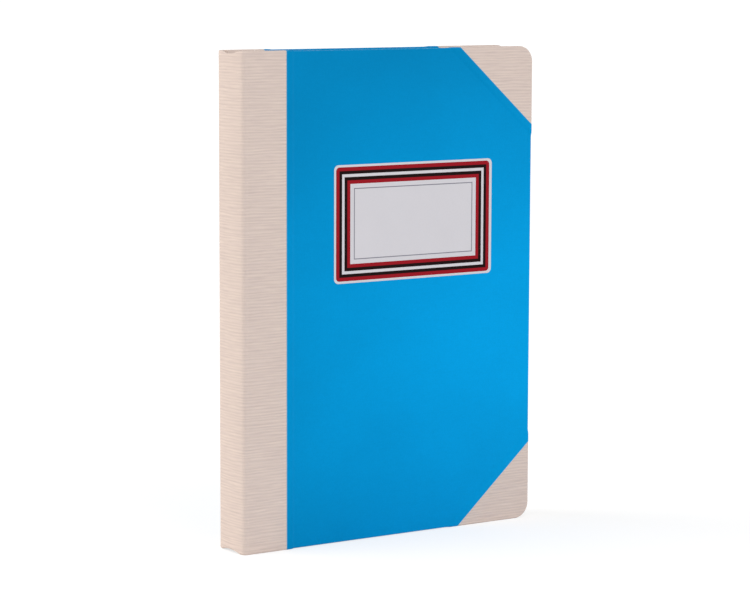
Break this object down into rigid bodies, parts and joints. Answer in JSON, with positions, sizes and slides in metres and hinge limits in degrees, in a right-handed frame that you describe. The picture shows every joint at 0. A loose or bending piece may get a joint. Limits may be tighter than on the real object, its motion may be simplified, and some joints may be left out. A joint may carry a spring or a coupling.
{
  "type": "composition notebook",
  "caption": "Hardcover notebook with ribbed cloth spine and corners, blue paper sides, a plain bordered title label and covers that open about the spine.",
  "frame": {"origin": "centre of the footprint on the surface that the closed, upright notebook stands on", "axes": "+X from the spine to the fore-edge, +Y from the front cover to the back cover, +Z from tail to head"},
  "size_m": [0.1536, 0.021, 0.216],
  "materials": {
    "leaves": "uncoated writing paper, cut edges of the leaves showing",
    "lining_paper": "kraft paper lining",
    "grey_card": "spine card",
    "grey_board": "binder's board",
    "book_cloth": "natural ribbed linen book cloth, matt",
    "blue_paper": "bright blue cover paper, satin",
    "endpaper": "plain off-white endpaper",
    "label_paper": "smooth white label paper",
    "red_ink": "printed red band",
    "black_ink": "printed black band",
    "grey_ink": "printed grey rule"
  },
  "bodies": {
    "text_block": {"page_block": "leaves", "spine_lining": "lining_paper", "spine_strip": "grey_card", "spine_cloth": "book_cloth", "front_endleaf": "endpaper", "back_endleaf": "endpaper"},
    "front_cover": {"front_board": "grey_board", "front_cloth_flap": "book_cloth", "front_head_corner": "book_cloth", "front_tail_corner": "book_cloth", "front_cover_paper": "blue_paper", "front_pastedown": "endpaper", "title_label": "label_paper", "label_red_bands": "red_ink", "label_black_bands": "black_ink", "label_rule": "grey_ink"},
    "back_cover": {"back_board": "grey_board", "back_cloth_flap": "book_cloth", "back_head_corner": "book_cloth", "back_tail_corner": "book_cloth", "back_cover_paper": "blue_paper", "back_pastedown": "endpaper"}
  },
  "joints": [
    {"name": "front_hinge", "type": "hinge", "parent": "text_block", "child": "front_cover", "pos_m": [-0.07373, -0.0105, 0], "axis": [0, 0, -1], "range_deg": [0, 180]},
    {"name": "back_hinge", "type": "hinge", "parent": "text_block", "child": "back_cover", "pos_m": [-0.07373, 0.0105, 0], "axis": [0, 0, 1], "range_deg": [0, 180]}
  ]
}
